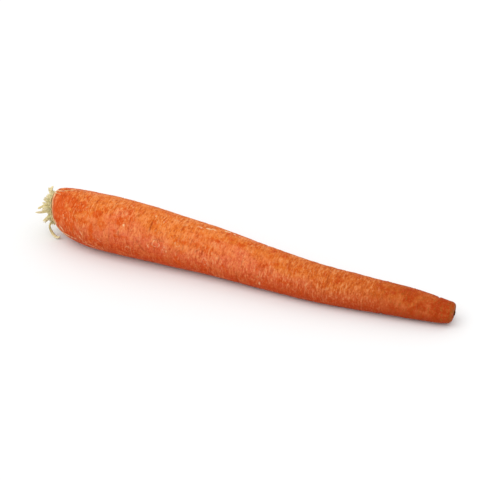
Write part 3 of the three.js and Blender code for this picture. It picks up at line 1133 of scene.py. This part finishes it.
@dataclass
class LeafBaseRing(Piece):
    """The ring of dried leaf bases in the crown, torn into papery scales, with thin scales and fibres.

    Its section is listed by radius, height and nearness to the torn edge.
    """

    name: ClassVar[str] = "dried_leaf_ring"
    slot: ClassVar[str] = "dried_leaf"
    stands_for: ClassVar[Sequence[str]] = ("dried_leaf_bases",)
    section: Sequence[Point] = (
        (8.75, -2.25, 0.0), (9.5, -2.25, 0.0), (9.6, -0.5, 0.0), (9.75, 0.4, 0.15), (10.25, 1.15, 0.8),
        (9.9, 1.3, 0.9), (9.2, 0.6, 0.6), (8.8, -0.6, 0.2), (8.75, -2.25, 0.0))
    sides: int = 400
    cuts: int = 4
    scales: int = 13
    seed: int = 58
    thin_scales: int = 44
    scale_reach: float = 8.4
    scale_foot: float = -1.9
    scale_thick: float = 0.07
    scale_rings: int = 11
    scale_sides: int = 16
    fibres: int = 150
    fibre_reach: float = 8.55
    fibre_foot: float = -1.7
    fibre_radius: float = 0.11
    fibre_taper: float = 0.09
    fibre_rings: int = 7
    fibre_sides: int = 5

    def ring(self) -> tuple[Array, Array]:
        """Makes the ring itself.

        Returns:
            Places by angle, by point of the section and by x, y, z, and how near each is to the torn edge.
        """
        radius, height, tip = refined(self.section, self.cuts).T
        around = circle(self.sides)[:, None]
        scale = np.abs(np.sin(around * self.scales / 2 + 0.7 * np.sin(3 * around)))
        ragged = 0.16 * np.sin(29 * around + 3 * np.sin(7 * around)) + 0.12 * np.sin(67 * around + 1)
        tall = 0.7 + 0.5 * scale + 0.2 * np.sin(5 * around + 1) + ragged * rise(0.2, 1.2, height)
        above = np.maximum(height, 0)
        reach = radius + 0.25 * (tall - 1) * above + 0.05 * np.sin(90 * around + 2 * height)
        return turned(reach, 0.0, height + (tall - 1) * above, around - TURN / 4), tip

    def blade(self, draw: Draw, around: float) -> tuple[Array, Array]:
        """Makes one thin papery scale that stands inside the ring and curls outward.

        Args:
            draw: Source of random numbers.
            around: Its angle.

        Returns:
            Places by ring, by side and by x, y, z, and how near each is to the tip.
        """
        tall, wide, lean = 2.2 + 1.9 * draw(), 0.6 + 0.8 * draw(), 0.15 + 0.35 * draw()
        root, wave, tint = self.scale_reach + 0.2 * draw(), 6 * draw(), 0.55 + 0.45 * draw()
        t = np.linspace(0, 1, self.scale_rings)[:, None]
        angle = circle(self.scale_sides)
        across, thick = np.cos(angle), self.scale_thick * np.sin(angle)
        shape = wide * np.clip(1 - t**2.6, 0.02, 1) ** 0.6 * (1 + 0.22 * np.sin(9 * t + wave))
        side = shape * (across + 0.25 * np.sin(3 * t + wave))
        reach = root + lean * tall * t**2.2 - 0.22 * across**2 + thick * (1 - 0.5 * t)
        z = self.scale_foot + tall * t * (1 - 0.10 * across**2 + 0.07 * np.sin(7 * across + wave) * t)
        return turned(reach, side, z, around), tint * t

    def fibre(self, draw: Draw) -> tuple[Array, Array]:
        """Makes one stiff fibre of a rotted leaf base.

        Args:
            draw: Source of random numbers.

        Returns:
            Places by ring, by side and by x, y, z, and how near each is to the tip.
        """
        around, length = TURN * draw(), 1.6 + 2.2 * draw()
        t = np.linspace(0, 1, self.fibre_rings)
        reach = self.fibre_reach + 1.0 * draw() + (0.45 * draw() - 0.05) * length * t**2
        swerve = (draw() - 0.5) * 0.28 * t**1.5
        path = turned(reach, 0.0, self.fibre_foot + length * t, around + swerve)
        rings = pipe(path, self.fibre_radius - self.fibre_taper * t, self.fibre_sides)
        return rings, (0.15 + 0.75 * draw()) * t[:, None]

    def fill(self, maker: MeshMaker) -> None:
        """Adds the ring, its thin scales and its fibres.

        Args:
            maker: The mesh that they join.
        """
        draw = draws(self.seed)
        rings, tip = self.ring()
        self.add(maker, rings, looped=True, tip=tip)
        part = TURN / self.thin_scales
        thin = [self.blade(draw, part * (i + 0.6 * draw())) for i in range(self.thin_scales)]
        for rings, tip in thin + [self.fibre(draw) for _ in range(self.fibres)]:
            self.add(maker, rings, tip=tip)


@dataclass(frozen=True)
class Stalk:
    """One torn leaf stalk: a strip of crescent section that climbs and leans outward on an arc.

    Args:
        around: Its angle round the crown.
        start: Distance of its root from the crown's middle.
        lean: Its lean at the root.
        droop: Its lean at the torn end.
        length: Its length.
        width: Its width at the root.
        thick: Its thickness.
        tear: How unevenly it is torn, as a share of its length.
    """

    around: float
    start: float
    lean: float
    droop: float
    length: float
    width: float
    thick: float
    tear: float

    def surface(self, u: Reading, t: Array, z: Reading) -> Array:
        """Gives places on the stalk.

        Args:
            u: Across it, from -1 to 1.
            t: Along it, from 0 to 1.
            z: From its inner face, -1, to its outer face, 1.

        Returns:
            Places in the crown's own frame.
        """
        late = np.clip(t - 0.5, 0, None) * 2
        ragged = self.tear * np.sin(7.3 * u + 9 * self.around) * late
        frayed = 0.05 * (np.sin(19 * u + 5 * self.around) + np.sin(33 * u + 11 * self.around)) * late**3
        bend = self.droop - self.lean
        angle = self.lean + bend * t * (1 + ragged + frayed)
        half = self.width / 2 * (1.04 - 0.16 * t) * (1 - 0.12 * t**3)
        rim = self.thick / 2 * (1.25 + 0.35 * t) * (1 - 0.25 * t**4) * (1 - 0.3 * u * u) * z
        out = rim - 0.42 * half * u * u
        turn = self.length / bend
        reach = self.start + turn * (math.cos(self.lean) - np.cos(angle)) + out * np.cos(angle)
        height = turn * (np.sin(angle) - math.sin(self.lean)) - out * np.sin(angle) - 0.3
        return turned(reach, half * u, height, self.around)


@dataclass
class StalkRosette(Piece):
    """The rosette of torn stalks and strands on one disc in the middle of the crown.

    The disc's section is listed by radius and height. The outer stalks are listed by angle and end lean, in
    degrees, length and width. The strands' points are places in the crown's own frame.
    """

    name: ClassVar[str] = "torn_leaf_stalks"
    slot: ClassVar[str] = "green_stalk"
    stands_for: ClassVar[Sequence[str]] = ("leaf_stalks",)
    disc: Curve = ((8.1, -2.25), (8.35, -0.8), (7.6, 0.7), (5, 1.9), (2.4, 2.4), (0.3, 2.5))
    disc_sides: int = 96
    disc_cuts: int = 4
    seed: int = 77
    heart: int = 8
    heart_start: float = 0.6
    heart_spacing: float = 1.6
    heart_length: float = 5.4
    heart_width: float = 3.0
    heart_thick: float = 1.3
    outer_start: float = 5.7
    outer_thick: float = 1.25
    least_tear: float = 0.10
    tear_spread: float = 0.12
    outer: Sequence[tuple[float, float, float, float]] = (
        (122, 80, 8.6, 4.6), (94, 40, 6.4, 3.2), (66, 56, 7.2, 3.2), (26, 46, 7.8, 4.4), (-15, 62, 8.0, 3.2),
        (-48, 78, 5.8, 3.6), (-84, 70, 6.0, 3.4), (-118, 84, 6.8, 4.4), (-150, 64, 8.4, 3.4),
        (178, 82, 7.2, 4.0), (150, 68, 8.6, 3.4))
    stalk_sides: int = 36
    stalk_rings: int = 26
    fray_seed: int = 311
    frays_per_mm: float = 2.8
    fewest_frays: int = 4
    fray_foot: float = 0.7
    fray_flat: float = 0.6
    fray_rings: int = 9
    fray_sides: int = 6
    sheaths: int = 34
    sheath_seed: int = 902
    sheaths_from: float = 1.2
    sheaths_to: float = 7.6
    strands: Sequence[Sequence[Point]] = (
        ((4.6, 5.4, 0.4), (5.2, 6.0, 3.9), (6.3, 5.0, 7.2), (7.2, 3.9, 10.2)),
        ((5.6, 1.2, 0.4), (6.8, 1.6, 3.6), (8.8, 2.3, 7.0), (12.3, 4.2, 9.5)),
        ((5.2, -4.2, 0.4), (6.2, -4.6, 3.0), (8.6, -6.6, 4.9), (7.4, -10.6, 6.0), (7.6, -13.8, 4.9),
         (8.6, -15.4, 2.2), (8.3, -14.7, 0.4)),
        ((-3.2, 6.0, 0.4), (-3.8, 6.8, 3.6), (-5.2, 9.8, 4.8), (-6.2, 11.8, 3.6)),
        ((-2.6, -6.4, 0.4), (-3.6, -7.0, 3.6), (-7.0, -9.6, 5.0), (-10.0, -10.6, 3.0)))
    strand_radius: float = 0.5
    strand_flat: float = 0.62
    strand_ribs: float = 0.16
    strand_sides: int = 24
    strand_rings: int = 60

    def low_sheaths(self) -> list[Stalk]:
        """Gives the low, dry bases of lost leaves that cover the disc between the stalks.

        Returns:
            The bases, as short stalks.
        """
        draw = draws(self.sheath_seed)
        radii, heights = zip(*sorted(self.disc))
        found = []
        reach = self.sheaths_to - self.sheaths_from
        for i in range(self.sheaths):
            start = self.sheaths_from + reach * math.sqrt((i + 0.5) / self.sheaths)
            tall = 2.4 + 1.5 * draw() - 0.12 * start + float(np.interp(start, radii, heights))
            found.append(Stalk(
                (i + 0.5) * GOLDEN_ANGLE, start, math.radians(6 + 3 * start), math.radians(24 + 5 * start),
                tall, 1.7 + 1.5 * draw(), 0.35 + 0.2 * draw(), 0.12 + 0.15 * draw()))
        return found

    def stalks(self) -> list[Stalk]:
        """Gives the stalks: a spiral in the heart, and the outer ones that lean over the ring.

        Returns:
            The stalks.
        """
        draw = draws(self.seed)
        found = []
        for i in range(self.heart):
            start = self.heart_start + self.heart_spacing * math.sqrt(i)
            found.append(Stalk(
                i * GOLDEN_ANGLE, start, math.radians(4 + 2 * i), math.radians(14 + 5 * i),
                self.heart_length + 2.4 * draw(), self.heart_width + 0.9 * draw(),
                self.heart_thick + 0.2 * draw(), self.least_tear + self.tear_spread * draw()))
        for side, droop, length, width in self.outer:
            found.append(Stalk(
                math.radians(side), self.outer_start + 0.4 * draw(), math.radians(6 + 5 * draw()),
                math.radians(droop), length, width, self.outer_thick + 0.25 * draw(),
                self.least_tear + self.tear_spread * draw()))
        return found

    def add_disc(self, maker: MeshMaker) -> None:
        """Adds the disc that the stalks grow from, with the ridged bases of lost leaves.

        Args:
            maker: The mesh that it joins.
        """
        radius, height = refined(self.disc, self.disc_cuts).T[:, :, None]
        around = -circle(self.disc_sides)
        ridge = 0.14 * np.sin(21 * around + 3 * radius) * rise(-1, 0.5, height) * rise(0, 3, radius)
        self.add(maker, turned(radius, 0.0, height + ridge, around), tip=0.3 * rise(-2, 2, height), tint=0.5,
                 dried=0.55 + 0.35 * rise(1.5, -0.5, height))

    def add_stalk(self, maker: MeshMaker, stalk: Stalk, draw: Draw) -> None:
        """Adds one ribbed stalk with the fibres of its torn end.

        Args:
            maker: The mesh that it joins.
            stalk: The stalk.
            draw: Source of random numbers.
        """
        c, s = np.cos(circle(self.stalk_sides)), np.sin(circle(self.stalk_sides))
        t = np.linspace(0, 1, self.stalk_rings)[:, None]
        u = np.sign(c) * np.abs(c) ** 0.85
        z = np.sign(s) * np.abs(s) ** 0.6 * (1 + 0.22 * np.cos(5 * math.pi * u) * (s > 0))
        tint = draw()
        self.add(maker, stalk.surface(u, t, z), tip=t, tint=tint,
                 place=vectors(u * stalk.width / 2, z, t * stalk.length) + 40 * tint,
                 dried=0.25 * rise(0.35, 0.0, t) + 0.35 * rise(0.9, 1.0, t))
        s = np.linspace(0, 1, self.fray_rings)
        foot = self.fray_foot
        for _ in range(max(self.fewest_frays, round(self.frays_per_mm * stalk.width))):
            across, depth = 1.9 * draw() - 0.95, 1.4 * draw() - 0.7
            reach = 1 + (0.10 + 0.6 * draw() ** 2) / stalk.length
            curl = np.array([draw() - 0.5, draw() - 0.5, draw() - 0.5])
            path = stalk.surface(across, foot + (reach - foot) * s, depth) + curl * (0.9 * s[:, None] ** 3)
            rings = pipe(path, (0.11 + 0.12 * draw()) * (1.1 - s**2), self.fray_sides, self.fray_flat)
            self.add(maker, rings, tip=(0.5 + 0.5 * s)[:, None], tint=tint,
                     dried=(0.7 * draw() * s)[:, None])

    def add_strand(self, maker: MeshMaker, points: Sequence[Point], tint: float) -> None:
        """Adds one thin strand, slightly flat and ribbed, that thins towards its end.

        Args:
            maker: The mesh that it joins.
            points: The points that it passes, in the crown's own frame.
            tint: How green it is, from 0 to 1.
        """
        path = spline(points, self.strand_rings)
        t = np.linspace(0, 1, self.strand_rings)
        radius = self.strand_radius * (1.5 + 0.5 * t + 0.16 * np.sin(14 * t + 9 * tint) * t)
        radius = radius * np.clip(7 * (1.02 - t), 0.12, 1) ** 0.6
        rings = pipe(path, radius, self.strand_sides, self.strand_flat, self.strand_ribs)
        angle, t = circle(self.strand_sides), t[:, None]
        along = 1.3 * np.linalg.norm(path[-1] - path[0]) * t
        self.add(maker, rings, place=vectors(0.6 * np.cos(angle), 0.6 * np.sin(angle), along) + 30 * tint,
                 tip=0.3 + 0.6 * t, tint=0.7 * tint, dried=0.5 * rise(0.93, 1.0, t))

    def fill(self, maker: MeshMaker) -> None:
        """Adds the disc, the stalks and the strands.

        Args:
            maker: The mesh that they join.
        """
        draw = draws(self.fray_seed)
        self.add_disc(maker)
        for stalk in self.stalks() + self.low_sheaths():
            self.add_stalk(maker, stalk, draw)
        for points in self.strands:
            self.add_strand(maker, points, draw())


@dataclass
class ShoulderFibres(Piece):
    """A few dry fibres of old leaves that lie on the shoulder beside the crown.

    Their paths are distances from the crown's rim and angles in degrees.
    """

    name: ClassVar[str] = "shoulder_fibres"
    slot: ClassVar[str] = "dried_leaf"
    paths: Sequence[Curve] = (
        ((0.4, 96), (1.6, 92), (3.4, 89), (5.4, 90), (7.2, 95), (9.5, 97), (12, 103), (15, 103), (18, 107)),
        ((0.5, 84), (1.8, 80), (3.6, 77), (5.2, 76)),
        ((0.2, -2), (1.8, -8), (4.0, -17), (5.4, -20), (7.0, -27), (9.4, -30)),
        ((0.3, 8), (1.5, 1), (3.0, -8), (4.6, -16)),
        ((0.3, -24), (1.6, -31), (3.6, -35), (6.4, -36), (9.5, -40), (13, -40)))
    radius: float = 0.30
    sunk: float = 0.09
    rings: int = 60
    sides: int = 8

    def fill(self, maker: MeshMaker) -> None:
        """Adds the fibres, sunk a little into the skin.

        Args:
            maker: The mesh that they join.
        """
        t = np.linspace(0, 1, self.rings)
        thick = self.radius * (0.15 + 0.85 * rise(0, 0.12, t)) * (1 - 0.75 * t) * (1 + 0.2 * np.sin(31 * t))
        for points in self.paths:
            at, degrees = spline(points, self.rings).T
            path = self.form.skin(at, np.radians(degrees), through(self.form.radius, at), -self.sunk)
            rings = pipe(path, thick, self.sides)
            maker.tube(rings, {"tip": (0.75 + 0.25 * np.sin(9 * t))[:, None], "place": rings})


@dataclass
class Studio:
    """The plain pale floor, the soft lights and the camera, which looks along an azimuth and an elevation."""

    azimuth: float = math.radians(21.7)
    elevation: float = math.radians(33.0)
    lens: float = 100.0
    sensor: float = 36.0
    distance: float = 778.67
    aim: Point = (-7.06, 19.92, 10.0)
    floor_half: float = 9.0
    floor_drop: float = 0.05
    floor_colour: Colour = (0.80, 0.80, 0.80, 1.0)
    sky: float = 1.0
    key_from: Point = (-0.25, -0.45, 0.85)
    key_power: float = 1.15
    key_width: float = math.radians(55)

    def camera(self) -> None:
        """Makes the camera of the photograph's view."""
        level = math.cos(self.elevation)
        sight = Vector((-math.sin(self.azimuth) * level, math.cos(self.azimuth) * level,
                        -math.sin(self.elevation)))
        data = bpy.data.cameras.new("camera")
        data.lens, data.sensor_width = self.lens, self.sensor
        camera = into_scene("camera", data)
        camera.location = (Vector(self.aim) - sight * self.distance) * MM
        camera.rotation_euler = sight.to_track_quat("-Z", "Y").to_euler()
        bpy.context.scene.camera = camera

    def floor(self) -> None:
        """Makes the floor that the carrot lies on."""
        graph = Graph("pale_floor")
        graph.surface(Base_Color=self.floor_colour, Roughness=0.9, Specular_IOR_Level=0.0)
        half = self.floor_half
        mesh = bpy.data.meshes.new("floor")
        mesh.from_pydata([(-half, -half, 0), (half, -half, 0), (half, half, 0), (-half, half, 0)], [],
                         [(0, 1, 2, 3)])
        mesh.materials.append(graph.material)
        floor = into_scene("floor", mesh)
        floor.location.z = -self.floor_drop * MM

    def lights(self) -> None:
        """Makes the wide, soft key light and the even sky."""
        data = bpy.data.lights.new("key", "SUN")
        data.energy, data.angle = self.key_power, self.key_width
        lamp = into_scene("key", data)
        lamp.location = self.key_from
        lamp.rotation_euler = (-Vector(self.key_from)).to_track_quat("-Z", "Y").to_euler()
        world = bpy.data.worlds.new("soft_sky")
        world.use_nodes = True
        world.node_tree.nodes["Background"].inputs["Color"].default_value = (1, 1, 1, 1)
        world.node_tree.nodes["Background"].inputs["Strength"].default_value = self.sky
        bpy.context.scene.world = world

    def build(self) -> None:
        """Builds the whole set."""
        bpy.context.scene.view_settings.view_transform = "Standard"
        self.floor()
        self.lights()
        self.camera()


def own_shift(form: RootForm) -> Array:
    """Finds where the frame puts the carrot's own coordinates.

    Args:
        form: The root's form.

    Returns:
        The shift in millimetres that lays the root's own box over its node's box.
    """
    at = np.linspace(0, form.length, 240)[:, None]
    skin = form.skin(at, np.linspace(-math.pi, math.pi, 240), through(form.radius, at))
    low, high = (np.array(corner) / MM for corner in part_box("root"))
    shift = low - skin.min((0, 1))
    shift[1] += (high[1] - low[1] - np.ptp(skin[..., 1])) / 2
    shift[2] = 0.0
    return shift


def main() -> None:
    """Builds the carrot and its set in order."""
    logging.basicConfig(level=logging.INFO, format="%(name)s: %(message)s")
    form = RootForm()
    shift = own_shift(form)
    log.info("the carrot's own coordinates are shifted by %s mm", np.round(shift, 3))
    dried = DriedLeafFinish()
    for piece, finish in ((RootSkin(form), SkinFinish()), (LeafBaseRing(form), dried),
                          (StalkRosette(form), StalkFinish()), (ShoulderFibres(form), dried)):
        mesh = piece.build(shift, finish.make()).data
        log.info("%s: %d triangles, slot %s, stands for %s", piece.name,
                 sum(len(face.vertices) - 2 for face in mesh.polygons), piece.slot,
                 ", ".join(piece.stands_for) or "nothing")
    Studio().build()


if __name__ == "__main__":
    main()
